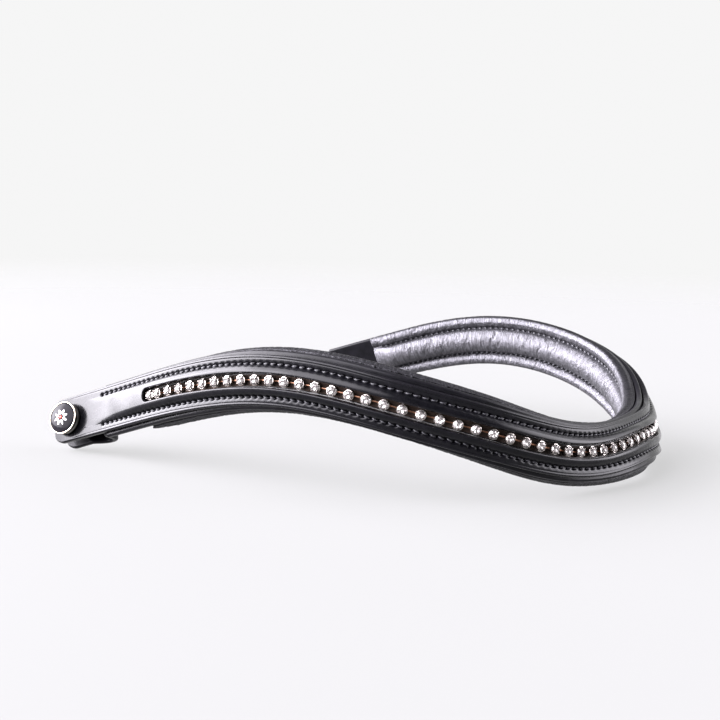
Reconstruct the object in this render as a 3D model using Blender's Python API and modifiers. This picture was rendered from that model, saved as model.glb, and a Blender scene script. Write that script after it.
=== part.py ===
"""Padded browband of a snaffle bridle: crystal chain set in a slotted leather front strap, leather
base strap, three-channel padded lining, and a press-stud loop at each end.

The band is cut and stitched flat and then lies in a wave on its lower edge. Every layer is drawn in
flat-band coordinates (s along, v across, w through the thickness, positive w is the front) and laid
along one shared centre line. Units are millimetres until place() turns them into metres.
"""
import math

import bmesh
import bpy
import numpy as np
from mathutils import Matrix, Vector

MM = 0.001

# ---- how the band lies ---------------------------------------------------------------------------
STATION = (0, 24, 48, 72, 96, 120, 144, 168, 192, 218)   # distance from the middle of the band
HEADING = (0, 18, 33, 54, 76, 88, 94, 98, 94, 74)        # degrees turned from the middle, per station
RISE = (0, 4, 17, 16, 11, 0, -12, -17, -18, -19.5)       # degrees of climb going away from the middle
LEAN = (36, 19, 5, -3, -2, 3, 8, 13, 15, 24)             # degrees the face tips up
REST_SHIFT = (0.0, -80.253, 10.245)                       # puts the bounding box foot on the origin
GRID = 9.0                                               # spacing of the cross cuts along the band

# ---- the band ------------------------------------------------------------------------------------
HALF_LENGTH = 216.0
STONE_PITCH = 4.8
STONE_COUNT = 73
END_STONE_SHIFT = 1.44         # the outermost stones sit this much closer in
SEAM_V = 4.72                  # stitch rows, either side of the centre line
FRONT_SEAM_END = 194.4

BASE_HALF = 8.4
BASE_BACK, BASE_FACE = 0.15, 2.15
BASE_END = 195.0

FRONT_HALF = 7.2
FRONT_BACK, FRONT_FACE = 2.45, 4.35
CROWN_RISE = 1.55
CROWN_END, CROWN_FADE = 184.0, 12.0
SEAM_GROOVE = 0.35
TIP_ROUND = 3.5
SLOT_HALF = 1.8
SLOT_END = 173.4

FILLER_V = (1.95, 3.5)
FILLER_W = (2.45, 3.7)
FILLER_END = 181.0
BED_HALF, BED_W, BED_END = 1.6, (2.45, 3.0), 176.0

CUP_RADIUS, CUP_W = 1.45, (3.3, 5.3)
LINK_HALF, LINK_TOP = 0.35, 3.9

PAD_END, PAD_TAPER = 172.8, 7.0
CORE_END = 165.0
LINING_OUT = ((0, -6.3), (2.4, -5.7), (3.9, -4.0), (4.3, -1.9), (5.15, -1.9), (5.6, -3.8),
              (6.8, -4.9), (8.4, -4.2), (9.0, -2.2), (8.7, -0.15))
LINING_IN = ((8.0, -0.15), (8.2, -2.0), (7.7, -3.5), (6.8, -4.1), (6.1, -3.2), (5.6, -1.2),
             (3.85, -1.2), (3.4, -3.5), (2.1, -5.0), (0, -5.5))
SIDE_CORE = ((5.9, -0.45), (7.7, -0.45), (7.85, -2.0), (7.4, -3.2), (6.8, -3.7), (6.4, -3.0),
             (5.95, -1.2))
MIDDLE_CORE = ((3.5, -0.45), (3.5, -1.3), (3.0, -3.4), (1.9, -4.6), (0, -5.1))
THREAD = 0.22
FRONT_THREAD_W, LINING_THREAD_W = 4.42, -2.35
LINING_SEAM_END = 170.0

# ---- loop tongues and press studs ----------------------------------------------------------------
HINGE_S, HINGE_W = 195.2, 0.1
TONGUE_HALF = 7.8
TONGUE_THICK = 1.9
TONGUE_PATH = ((195.5, 1.15), (196.1, 1.05), (196.8, 0.2), (197.2, -0.9), (197.7, -2.8),
               (198.6, -4.8), (200.0, -5.8), (201.6, -5.9), (203.1, -5.2), (204.4, -4.0),
               (205.4, -2.9), (206.2, -2.45), (212.6, -2.45), (213.9, -2.45), (215.1, -2.45),
               (215.7, -2.45))
TONGUE_TIP_HALF = {213.9: 7.3, 215.1: 6.2, 215.7: 4.6}
STUD_S = 210.0
SPIN_STEPS = 18
MERGE = 0.00001
CAP_HOLE, STUD_HOLE = 1.5, 1.5
CAP = ((0, 2.4), (1.2, 2.4), (1.2, 4.65), (4.75, 4.65), (5.0, 4.9), (5.0, 5.5), (4.7, 5.6),
       (4.7, 6.1), (0, 6.1))
CAP_BEZEL = ((4.6, 6.3), (5.2, 6.3), (5.3, 6.8), (5.0, 7.3), (4.6, 7.1))
CAP_DISC = ((0, 6.3), (4.4, 6.3), (4.4, 6.95), (3.3, 7.5), (1.7, 7.8), (0, 7.9))
SOCKET = ((1.75, 2.3), (1.75, 0.5), (3.7, 0.5), (4.1, 0.9), (4.1, 2.3))
STUD = ((0, -1.15), (4.0, -1.15), (4.0, -0.75), (1.6, -0.55), (1.45, -0.3), (1.45, 0.7),
        (1.55, 1.4), (1.2, 1.95), (0, 1.95))
EYELET = ((0, -1.3), (1.2, -1.3), (1.2, -3.6), (3.6, -3.6), (3.4, -4.05), (0, -4.2))


# ---- laying the flat band ------------------------------------------------------------------------
def natural_spline(xs, ys):
    """Smooth curve through the stations, straight at both ends."""
    xs, ys = np.array(xs, float), np.array(ys, float)
    h = np.diff(xs)
    n = len(xs)
    rows, right = np.eye(n), np.zeros(n)
    for i in range(1, n - 1):
        rows[i, i - 1:i + 2] = h[i - 1], 2 * (h[i - 1] + h[i]), h[i]
        right[i] = 3 * ((ys[i + 1] - ys[i]) / h[i] - (ys[i] - ys[i - 1]) / h[i - 1])
    c = np.linalg.solve(rows, right)
    b = np.diff(ys) / h - h * (2 * c[:-1] + c[1:]) / 3
    d = np.diff(c) / (3 * h)

    def value(x):
        k = np.clip(np.searchsorted(xs, x) - 1, 0, n - 2)
        t = x - xs[k]
        return ys[k] + b[k] * t + c[k] * t * t + d[k] * t ** 3
    return value


def both_ways(values, sign):
    """Station values for the whole band from those of one half."""
    return [sign * v for v in values[:0:-1]] + list(values)


STATIONS = both_ways(STATION, -1)
heading_at = natural_spline(STATIONS, both_ways(HEADING, -1))
rise_at = natural_spline(STATIONS, both_ways(RISE, -1))
lean_at = natural_spline(STATIONS, both_ways(LEAN, 1))


def along(s):
    """Unit vector along the band at s."""
    psi, gam = np.radians(heading_at(s)), np.radians(rise_at(s))
    return np.array((np.cos(gam) * np.cos(psi), np.cos(gam) * np.sin(psi), np.sin(gam)))


STEP = 0.5
FINE = np.arange(-STATION[-1], STATION[-1] + STEP / 2, STEP)
TANGENTS = along(FINE)
CENTRE = np.concatenate((np.zeros((3, 1)),
                         np.cumsum((TANGENTS[:, 1:] + TANGENTS[:, :-1]) / 2 * STEP, axis=1)), axis=1)
CENTRE -= CENTRE[:, len(FINE) // 2][:, None]


def frame_at(s):
    """Point on the centre line and the along, up and front directions there."""
    t = Vector(along(s))
    psi, lean = math.radians(heading_at(s)), math.radians(lean_at(s))
    flat_front = Vector((math.sin(psi), -math.cos(psi), 0))
    flat_up = flat_front.cross(t)
    up = flat_up * math.cos(lean) - flat_front * math.sin(lean)
    front = flat_front * math.cos(lean) + flat_up * math.sin(lean)
    centre = Vector([np.interp(s, FINE, CENTRE[k]) for k in range(3)])
    return centre + Vector(REST_SHIFT), t, up, front


def place(s, v, w):
    """World point, in metres, of a flat-band point."""
    centre, _, up, front = frame_at(s)
    return (centre + up * v + front * w) * MM


def cuts(start, end, extra=(), offset=0.0):
    """Cross cuts from start to end on the shared grid, with extra ones where a shape needs them."""
    first, last = math.ceil(start / GRID - offset), math.floor(end / GRID - offset)
    inner = [(k + offset) * GRID for k in range(first, last + 1)]
    keep = [s for s in inner if all(abs(s - e) > 1.5 for e in (start, end, *extra))]
    return sorted({start, end, *extra, *keep})


# ---- building blocks -----------------------------------------------------------------------------
def clear_scene():
    for item in list(bpy.data.objects):
        bpy.data.objects.remove(item, do_unlink=True)


def new_collection(name):
    group = bpy.data.collections.new(name)
    bpy.context.scene.collection.children.link(group)
    return group


def material(name, color, roughness, metallic=0.0):
    mat = bpy.data.materials.new(name)
    mat.use_nodes = True
    shader = mat.node_tree.nodes["Principled BSDF"]
    shader.inputs["Base Color"].default_value = (*color, 1.0)
    shader.inputs["Roughness"].default_value = roughness
    shader.inputs["Metallic"].default_value = metallic
    mat.diffuse_color = (*color, 1.0)
    return mat


def add_object(name, mesh, mat, group):
    mesh.materials.append(mat)
    item = bpy.data.objects.new(name, mesh)
    group.objects.link(item)
    return item


def face_outwards(bm):
    bmesh.ops.recalc_face_normals(bm, faces=bm.faces)
    if bm.calc_volume(signed=True) < 0:
        bmesh.ops.reverse_faces(bm, faces=bm.faces)


def finish_mesh(bm, name):
    face_outwards(bm)
    mesh = bpy.data.meshes.new(name)
    bm.to_mesh(mesh)
    bm.free()
    return mesh


def loft(name, rings, mat, group):
    """Closed solid through rings of points, capped at both ends."""
    bm = bmesh.new()
    loops = [[bm.verts.new(p) for p in ring] for ring in rings]
    for a, b in zip(loops[:-1], loops[1:]):
        for i in range(len(a)):
            j = (i + 1) % len(a)
            bm.faces.new((a[i], a[j], b[j], b[i]))
    caps = [bm.faces.new(loops[0]), bm.faces.new(loops[-1])]
    bmesh.ops.triangulate(bm, faces=caps, ngon_method="EAR_CLIP")
    return add_object(name, finish_mesh(bm, name), mat, group)


def ribbon(name, stations, section, mat, group):
    """Strip of the band: section(s) gives its outline as (v, w) points."""
    return loft(name, [[place(s, v, w) for v, w in section(s)] for s in stations], mat, group)


def turned(name, profile, side, mat, group):
    """Round press-stud part spun about the stud axis; profile is (radius, w)."""
    centre, t, up, front = frame_at(side * STUD_S)
    mesh = bpy.data.meshes.new(name)
    edges = [(i, i + 1) for i in range(len(profile) - 1)]
    if profile[0][0] > 0:
        edges.append((len(profile) - 1, 0))
    mesh.from_pydata([(r * MM, 0, w * MM) for r, w in profile], edges, [])
    item = add_object(name, mesh, mat, group)
    spin = item.modifiers.new("spin", "SCREW")
    spin.steps = spin.render_steps = SPIN_STEPS
    spin.use_merge_vertices = True
    spin.merge_threshold = MERGE
    item.data = solid_mesh(item)
    frame = Matrix((t, up, front)).transposed().to_4x4()
    frame.translation = centre * MM
    item.matrix_world = frame
    return item


def solid_mesh(item):
    """Mesh of an object with its modifiers used up, faces turned outwards."""
    shaped = item.evaluated_get(bpy.context.evaluated_depsgraph_get())
    mesh = bpy.data.meshes.new_from_object(shaped)
    item.modifiers.clear()
    bm = bmesh.new()
    bm.from_mesh(mesh)
    face_outwards(bm)
    bm.to_mesh(mesh)
    bm.free()
    return mesh


def cut_out(item, cutter):
    """Take the cutter's shape out of the object."""
    hole = item.modifiers.new("cut", "BOOLEAN")
    hole.operation = "DIFFERENCE"
    hole.solver = "EXACT"
    hole.object = cutter
    cutter.hide_render = True
    cutter.display_type = "WIRE"


def mirror_section(half):
    """Full outline from the half with v >= 0, which starts and ends on the centre line."""
    return list(half) + [(-v, w) for v, w in half[-2:0:-1]]


def ramp(x, start, end):
    """1 up to start, straight down to 0 at end."""
    return min(1.0, max(0.0, (end - x) / (end - start)))


def round_end(depth, half, radius):
    """Half width of a strip with rounded corners, depth in from its end."""
    if depth >= radius:
        return half
    return half - radius + math.sqrt(max(radius ** 2 - (radius - depth) ** 2, 0))


# ---- outlines of the layers ----------------------------------------------------------------------
def front_section(s):
    """Front strap: flat shoulders, stitch grooves and a raised crown that is open underneath."""
    a = abs(s)
    crown = CROWN_RISE * ramp(a, CROWN_END, CROWN_END + CROWN_FADE)
    groove = SEAM_GROOVE * (a <= FRONT_SEAM_END)
    wide = round_end(HALF_LENGTH - a, FRONT_HALF, TIP_ROUND) / FRONT_HALF
    top, back = FRONT_FACE, FRONT_BACK
    half = [(0, top + crown), (1.9, top + crown), (3.3, top + 0.85 * crown), (4.25, top),
            (SEAM_V, top - groove), (5.2, top), (6.8, top), (FRONT_HALF, top - 0.4),
            (FRONT_HALF, back + 0.4), (6.9, back), (4.15, back), (3.75, back + crown),
            (0, back + crown)]
    return mirror_section([(v * wide, w) for v, w in half])


def base_section(_):
    """Base strap, with extra points across so that its faces follow the twist."""
    edge = 0.4
    across = (0, 2.7, 5.4, BASE_HALF - edge)
    half = [(v, BASE_FACE) for v in across]
    half += [(BASE_HALF, BASE_FACE - edge), (BASE_HALF, BASE_BACK + edge)]
    half += [(v, BASE_BACK) for v in across[::-1]]
    return mirror_section(half)


def box_section(v0, v1, w0, w1):
    return [(v0, w0), (v1, w0), (v1, w1), (v0, w1)]


def pad_depth(s):
    """The padding thins towards its two ends."""
    return 0.55 + 0.45 * ramp(abs(s), PAD_END - PAD_TAPER, PAD_END)


def lining_section(s):
    deep = pad_depth(s)
    skin = [(v, w * deep) for v, w in LINING_OUT + LINING_IN]
    return skin + [(-v, w) for v, w in skin[-2:0:-1]]


def thread_section(v, w):
    return [(v - THREAD, w), (v, w - THREAD), (v + THREAD, w), (v, w + THREAD)]


def slot_section(s):
    half = round_end(SLOT_END - abs(s), SLOT_HALF, SLOT_HALF)
    return box_section(-half, half, 3.2, 7.0)


# ---- the pieces ----------------------------------------------------------------------------------
def make_front(group, cutters):
    ends = (CROWN_END, CROWN_END + CROWN_FADE / 2, FRONT_SEAM_END, CROWN_END + CROWN_FADE,
            212.5, 214.2, 215.4)
    stations = cuts(-HALF_LENGTH, HALF_LENGTH, tuple(-e for e in ends) + ends)
    leather = material("front_leather", (0.018, 0.018, 0.021), 0.32)
    strap = ribbon("front_strap", stations, front_section, leather, group)
    dark = bpy.data.materials.new("cutter")
    tips = tuple(SLOT_END - d for d in (0.3, 0.9, 1.75))
    start = SLOT_END - 0.05
    between = cuts(-start, start, tuple(-e for e in tips) + tips, 0.5)
    slot = ribbon("slot_cutter", between, slot_section, dark, cutters)
    cut_out(strap, slot)
    for side, word in SIDES:
        hole = turned(f"{word}_cap_hole", ((0, 1.6), (CAP_HOLE, 1.6), (CAP_HOLE, 5.4), (0, 5.4)),
                      side, dark, cutters)
        cut_out(strap, hole)


def make_inside(group):
    felt = material("crown_filler", (0.05, 0.045, 0.04), 0.9)
    stations = cuts(-FILLER_END, FILLER_END)
    for word, sign in (("upper", 1), ("lower", -1)):
        v0, v1 = sorted(sign * v for v in FILLER_V)
        ribbon(f"crown_filler_{word}", stations, lambda s: box_section(v0, v1, *FILLER_W),
               felt.copy(), group)
    bed = material("chain_bed", (0.02, 0.012, 0.008), 0.7)
    ribbon("chain_bed", cuts(-BED_END, BED_END), lambda s: box_section(-BED_HALF, BED_HALF, *BED_W),
           bed, group)


def stone_places():
    last = (STONE_COUNT - 1) / 2
    places = [STONE_PITCH * (k - last) for k in range(STONE_COUNT)]
    places[0] += END_STONE_SHIFT
    places[-1] -= END_STONE_SHIFT
    return places


def make_chain(group):
    """Cups joined by short links, one strip of metal."""
    silver = material("cup_chain", (0.72, 0.66, 0.58), 0.25, 1.0)
    cup = ((-CUP_RADIUS, LINK_HALF, LINK_TOP), (-1.22, 0.75, CUP_W[1]), (0, CUP_RADIUS, CUP_W[1]),
           (1.22, 0.75, CUP_W[1]), (CUP_RADIUS, LINK_HALF, LINK_TOP))
    rings = []
    for s in stone_places():
        for offset, half, top in cup:
            rings.append([place(s + offset, v, w) for v, w in box_section(-half, half, CUP_W[0], top)])
    loft("cup_chain", rings, silver, group)


def make_base(group):
    leather = material("base_leather", (0.02, 0.02, 0.022), 0.4)
    ribbon("base_strap", cuts(-BASE_END, BASE_END), base_section, leather, group)


def make_padding(group):
    foam = material("pad_core", (0.55, 0.52, 0.45), 0.9)
    stations = cuts(-CORE_END, CORE_END)
    ribbon("pad_core_middle", stations, lambda s: mirror_section(
        [(0, MIDDLE_CORE[0][1])] + list(MIDDLE_CORE)), foam, group)
    for word, sign in (("upper", 1), ("lower", -1)):
        ribbon(f"pad_core_{word}", stations, lambda s: [(sign * v, w) for v, w in SIDE_CORE],
               foam.copy(), group)
    skin = material("pad_lining", (0.36, 0.36, 0.4), 0.35, 0.6)
    bend = PAD_END - PAD_TAPER
    ribbon("pad_lining", cuts(-PAD_END, PAD_END, (-bend, bend)), lining_section, skin, group)


def make_threads(group):
    black = material("thread", (0.012, 0.012, 0.014), 0.6)
    near = (CROWN_END, CROWN_END + CROWN_FADE / 2)
    front = cuts(-FRONT_SEAM_END, FRONT_SEAM_END, tuple(-e for e in near) + near)
    bend = PAD_END - PAD_TAPER
    rear = cuts(-LINING_SEAM_END, LINING_SEAM_END, (-bend, bend))
    for word, v in (("upper", SEAM_V), ("lower", -SEAM_V)):
        ribbon(f"front_thread_{word}", front, lambda s: thread_section(v, FRONT_THREAD_W),
               black.copy(), group)
        ribbon(f"lining_thread_{word}", rear,
               lambda s: thread_section(v, LINING_THREAD_W * pad_depth(s)), black.copy(), group)


def tongue_rings(side):
    """Outline of the tongue at each point of its bowed path."""
    rings, edge, half_t = [], 0.3, TONGUE_THICK / 2
    for k, (s, w) in enumerate(TONGUE_PATH):
        before, after = TONGUE_PATH[max(k - 1, 0)], TONGUE_PATH[min(k + 1, len(TONGUE_PATH) - 1)]
        ds, dw = after[0] - before[0], after[1] - before[1]
        size = math.hypot(ds, dw)
        h = TONGUE_TIP_HALF.get(s, TONGUE_HALF)
        outline = [(h - edge, half_t), (h, half_t - edge), (h, edge - half_t), (h - edge, -half_t)]
        outline += [(-v, off) for v, off in outline[::-1]]
        rings.append([place(side * (s - dw / size * off), v, w + ds / size * off)
                      for v, off in outline])
    return rings


def make_end(group, cutters, side, word):
    """Loop tongue on its fold and the two halves of the press stud."""
    centre, _, up, front = frame_at(side * HINGE_S)
    hinge = bpy.data.objects.new(f"{word}_fold_axis", None)
    hinge.location = (centre + front * HINGE_W) * MM
    group.objects.link(hinge)
    leather = material(f"{word}_tongue", (0.02, 0.02, 0.022), 0.42)
    tongue = loft(f"{word}_tongue", tongue_rings(side), leather, group)
    hole = turned(f"{word}_tongue_hole", ((0, -4.5), (STUD_HOLE, -4.5), (STUD_HOLE, -0.5), (0, -0.5)),
                  side, bpy.data.materials["cutter"], cutters)
    cut_out(tongue, hole)
    dark = (0.16, 0.16, 0.17)
    fixed = (("snap_cap", CAP, dark, 0.35), ("cap_bezel", CAP_BEZEL, (0.8, 0.76, 0.66), 0.2),
             ("snap_socket", SOCKET, (0.45, 0.42, 0.38), 0.35))
    for part, profile, color, rough in fixed:
        turned(f"{word}_{part}", profile, side, material(f"{word}_{part}", color, rough, 1.0), group)
    enamel = material(f"{word}_cap_disc", (0.01, 0.01, 0.012), 0.08)
    turned(f"{word}_cap_disc", CAP_DISC, side, enamel, group)
    moving = [tongue]
    for part, profile in (("snap_stud", STUD), ("snap_eyelet", EYELET)):
        steel = material(f"{word}_{part}", (0.45, 0.42, 0.38), 0.35, 1.0)
        moving.append(turned(f"{word}_{part}", profile, side, steel, group))
    bpy.context.view_layer.update()
    for item in moving:
        item.parent = hinge
        item.matrix_parent_inverse = hinge.matrix_world.inverted()


SIDES = ((-1, "left"), (1, "right"))


def main():
    clear_scene()
    group, cutters = new_collection("padded_browband"), new_collection("cutters")
    make_front(group, cutters)
    make_inside(group)
    make_chain(group)
    make_base(group)
    make_padding(group)
    make_threads(group)
    for side, word in SIDES:
        make_end(group, cutters, side, word)


main()
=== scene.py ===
"""Looks of the padded, crystal-set browband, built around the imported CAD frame.

Every layer is drawn in flat-band coordinates in millimetres, s along, v across and w through the
thickness with the front positive, and laid by lie() exactly as the CAD lays its solids.
"""
import math

import bmesh
import bpy
import numpy as np
from mathutils import Matrix, Vector


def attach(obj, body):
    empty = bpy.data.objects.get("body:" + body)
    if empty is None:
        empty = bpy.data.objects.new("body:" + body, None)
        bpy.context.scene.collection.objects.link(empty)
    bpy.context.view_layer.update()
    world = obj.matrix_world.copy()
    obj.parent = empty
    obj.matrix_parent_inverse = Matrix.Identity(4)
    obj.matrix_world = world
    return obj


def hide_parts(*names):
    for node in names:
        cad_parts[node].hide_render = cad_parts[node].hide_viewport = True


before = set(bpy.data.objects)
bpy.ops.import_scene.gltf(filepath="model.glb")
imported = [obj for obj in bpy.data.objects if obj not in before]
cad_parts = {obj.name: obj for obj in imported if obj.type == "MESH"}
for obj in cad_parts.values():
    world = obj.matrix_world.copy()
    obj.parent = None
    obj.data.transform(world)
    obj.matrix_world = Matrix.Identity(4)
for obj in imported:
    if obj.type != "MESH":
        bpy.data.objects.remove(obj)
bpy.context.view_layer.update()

MM = 0.001
rng = np.random.default_rng(7)

# ---- how the band lies, as in the CAD ------------------------------------------------------------
STATION = (0, 24, 48, 72, 96, 120, 144, 168, 192, 218)
HEADING = (0, 18, 33, 54, 76, 88, 94, 98, 94, 74)
RISE = (0, 4, 17, 16, 11, 0, -12, -17, -18, -19.5)
LEAN = (36, 19, 5, -3, -2, 3, 8, 13, 15, 24)
REST_SHIFT = (0.0, -80.253, 10.245)


def natural_spline(xs, ys):
    xs, ys = np.array(xs, float), np.array(ys, float)
    h = np.diff(xs)
    n = len(xs)
    rows, right = np.eye(n), np.zeros(n)
    for i in range(1, n - 1):
        rows[i, i - 1:i + 2] = h[i - 1], 2 * (h[i - 1] + h[i]), h[i]
        right[i] = 3 * ((ys[i + 1] - ys[i]) / h[i] - (ys[i] - ys[i - 1]) / h[i - 1])
    c = np.linalg.solve(rows, right)
    b = np.diff(ys) / h - h * (2 * c[:-1] + c[1:]) / 3
    d = np.diff(c) / (3 * h)

    def value(x):
        k = np.clip(np.searchsorted(xs, x) - 1, 0, n - 2)
        t = x - xs[k]
        return ys[k] + b[k] * t + c[k] * t * t + d[k] * t ** 3
    return value


def both_ways(values, sign):
    return [sign * v for v in values[:0:-1]] + list(values)


STATIONS = both_ways(STATION, -1)
heading_at = natural_spline(STATIONS, both_ways(HEADING, -1))
rise_at = natural_spline(STATIONS, both_ways(RISE, -1))
lean_at = natural_spline(STATIONS, both_ways(LEAN, 1))


def along(s):
    psi, gam = np.radians(heading_at(s)), np.radians(rise_at(s))
    return np.stack((np.cos(gam) * np.cos(psi), np.cos(gam) * np.sin(psi), np.sin(gam)), -1)


STEP = 0.5
FINE = np.arange(-STATION[-1], STATION[-1] + STEP / 2, STEP)
TANGENTS = along(FINE)
CENTRE = np.concatenate((np.zeros((1, 3)),
                         np.cumsum((TANGENTS[1:] + TANGENTS[:-1]) / 2 * STEP, axis=0)))
CENTRE = CENTRE - CENTRE[len(FINE) // 2] + np.array(REST_SHIFT)


def axes_at(s):
    """Centre line, along, up and front directions at s."""
    s = np.asarray(s, float)
    t = along(s)
    psi, lean = np.radians(heading_at(s)), np.radians(lean_at(s))[..., None]
    flat_front = np.stack((np.sin(psi), -np.cos(psi), 0 * psi), -1)
    flat_up = np.cross(flat_front, t)
    up = flat_up * np.cos(lean) - flat_front * np.sin(lean)
    front = flat_front * np.cos(lean) + flat_up * np.sin(lean)
    centre = np.stack([np.interp(s, FINE, CENTRE[:, k]) for k in range(3)], -1)
    return centre, t, up, front


def lie(flat):
    """Row-frame points, in metres, of flat-band points (s, v, w) in millimetres."""
    flat = np.asarray(flat, float)
    centre, _, up, front = axes_at(flat[..., 0])
    return (centre + up * flat[..., 1:2] + front * flat[..., 2:3]) * MM


# ---- mesh helpers --------------------------------------------------------------------------------
def grid_faces(rows, cols, closed=False, start=0):
    r = np.arange(rows - 1)[:, None] * cols
    c = np.arange(cols if closed else cols - 1)[None, :]
    d = (c + 1) % cols
    quads = np.stack((r + c, r + d, r + cols + d, r + cols + c), -1)
    return quads.reshape(-1, 4) + start


def new_piece(name, points, faces, mat, uv=None, fields=None, smooth=True, merge=0.0, sharp=None):
    """Object from points and faces; uv and fields are values per point."""
    mesh = bpy.data.meshes.new(name)
    faces = [list(map(int, f)) for f in faces]
    mesh.from_pydata([tuple(p) for p in points], [], faces)
    if uv is not None:
        layer = mesh.uv_layers.new(name="flat")
        index = np.empty(len(mesh.loops), int)
        mesh.loops.foreach_get("vertex_index", index)
        layer.data.foreach_set("uv", np.asarray(uv, float)[index].ravel())
    for word, values in (fields or {}).items():
        field = mesh.attributes.new(word, "FLOAT", "POINT")
        field.data.foreach_set("value", np.asarray(values, float).ravel())
    bm = bmesh.new()
    bm.from_mesh(mesh)
    if merge:
        bmesh.ops.remove_doubles(bm, verts=bm.verts, dist=merge)
        bmesh.ops.dissolve_degenerate(bm, edges=bm.edges, dist=merge)
    bmesh.ops.recalc_face_normals(bm, faces=bm.faces)
    if bm.calc_volume(signed=True) < 0:
        bmesh.ops.reverse_faces(bm, faces=bm.faces)
    bm.to_mesh(mesh)
    bm.free()
    mesh.polygons.foreach_set("use_smooth", [smooth] * len(mesh.polygons))
    if sharp:
        mesh.set_sharp_from_angle(angle=math.radians(sharp))
    mesh.materials.append(mat)
    item = bpy.data.objects.new(name, mesh)
    bpy.context.scene.collection.objects.link(item)
    return item


def laid(name, rings, mat, fields=None, **options):
    """Closed ribbon through rings of flat points (n, m, 3), with its two ends filled."""
    rings = np.asarray(rings, float)
    n, m = rings.shape[:2]
    faces = [list(f) for f in grid_faces(n, m, closed=True)]
    faces.append(list(range(m)))
    faces.append(list(range((n - 1) * m, n * m)))
    flat = rings.reshape(-1, 3)
    return new_piece(name, lie(flat), faces, mat, uv=flat[:, :2], fields=fields, **options)


def ramp(x, start, end):
    return np.clip((end - x) / (end - start), 0.0, 1.0)


def smooth_step(x, start, end):
    t = np.clip((x - start) / (end - start), 0.0, 1.0)
    return t * t * (3 - 2 * t)


def round_end(depth, half, radius):
    """Half width of a strip with rounded corners, depth in from its end."""
    inside = np.clip(radius - depth, 0, radius)
    return half - radius + np.sqrt(radius ** 2 - inside ** 2)


def bump_at(x, centre, width):
    return np.exp(-((x - centre) / width) ** 2)


def wander(s, v, size, seed, across=1.0):
    """Smooth seeded unevenness, about -1 to 1, with features of the given size in millimetres."""
    turn = np.random.default_rng(seed)
    total = np.zeros(np.broadcast(s, v).shape)
    for _ in range(9):
        angle, phase = turn.uniform(0, 2 * math.pi), turn.uniform(0, 2 * math.pi)
        rate = 2 * math.pi / size * turn.uniform(0.55, 1.5)
        total = total + np.sin(rate * (math.cos(angle) * s + across * math.sin(angle) * v) + phase)
    return total / 4.5


# ---- material helpers ----------------------------------------------------------------------------
class Nodes:
    """Small builder for a node tree."""

    def __init__(self, tree):
        self.tree = tree

    def new(self, kind, **values):
        node = self.tree.nodes.new(kind)
        for key, value in values.items():
            setattr(node, key, value)
        return node

    def link(self, out, into):
        self.tree.links.new(out, into)

    def maths(self, operation, a, b, clamp=False):
        node = self.new("ShaderNodeMath", operation=operation, use_clamp=clamp)
        for k, x in enumerate((a, b)):
            if isinstance(x, (int, float)):
                node.inputs[k].default_value = x
            else:
                self.link(x, node.inputs[k])
        return node.outputs[0]

    def spots(self, where, scale, detail=3.0, rough=0.55, distortion=0.0):
        node = self.new("ShaderNodeTexNoise")
        node.inputs["Scale"].default_value = scale
        node.inputs["Detail"].default_value = detail
        node.inputs["Roughness"].default_value = rough
        node.inputs["Distortion"].default_value = distortion
        self.link(where, node.inputs["Vector"])
        return node.outputs["Fac"]

    def cells(self, where, scale):
        node = self.new("ShaderNodeTexVoronoi", feature="F1")
        node.inputs["Scale"].default_value = scale
        self.link(where, node.inputs["Vector"])
        return node.outputs["Distance"]

    def stretch(self, where, scale):
        node = self.new("ShaderNodeMapping")
        node.inputs["Scale"].default_value = scale
        self.link(where, node.inputs["Vector"])
        return node.outputs[0]

    def blend(self, factor, low, high):
        """Colours low to high by factor."""
        node = self.new("ShaderNodeValToRGB")
        node.color_ramp.elements[0].color = (*low, 1)
        node.color_ramp.elements[1].color = (*high, 1)
        self.link(factor, node.inputs[0])
        return node

    def spread(self, value, low, high, out_low, out_high, interpolation="LINEAR"):
        """Value from low..high taken to out_low..out_high."""
        node = self.new("ShaderNodeMapRange", interpolation_type=interpolation)
        self.link(value, node.inputs["Value"])
        for word, x in (("From Min", low), ("From Max", high), ("To Min", out_low),
                        ("To Max", out_high)):
            node.inputs[word].default_value = x
        return node.outputs[0]

    def bump(self, height, strength, distance, normal=None):
        node = self.new("ShaderNodeBump")
        node.inputs["Strength"].default_value = strength
        node.inputs["Distance"].default_value = distance * MM
        self.link(height, node.inputs["Height"])
        if normal is not None:
            self.link(normal, node.inputs["Normal"])
        return node.outputs[0]


def new_material(name, **shader_values):
    mat = bpy.data.materials.new(name)
    mat.use_nodes = True
    shader = mat.node_tree.nodes["Principled BSDF"]
    for word, value in shader_values.items():
        shader.inputs[word.replace("_", " ")].default_value = value
    return mat, Nodes(mat.node_tree), shader


def flat_place(nodes):
    """Flat-band (s, v) position in millimetres."""
    node = nodes.new("ShaderNodeUVMap", uv_map="flat")
    return node.outputs[0]


def millimetres(nodes):
    node = nodes.new("ShaderNodeTexCoord")
    return nodes.stretch(node.outputs["Object"], (1000, 1000, 1000))


def field(nodes, word):
    return nodes.new("ShaderNodeAttribute", attribute_name=word).outputs["Fac"]


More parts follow.
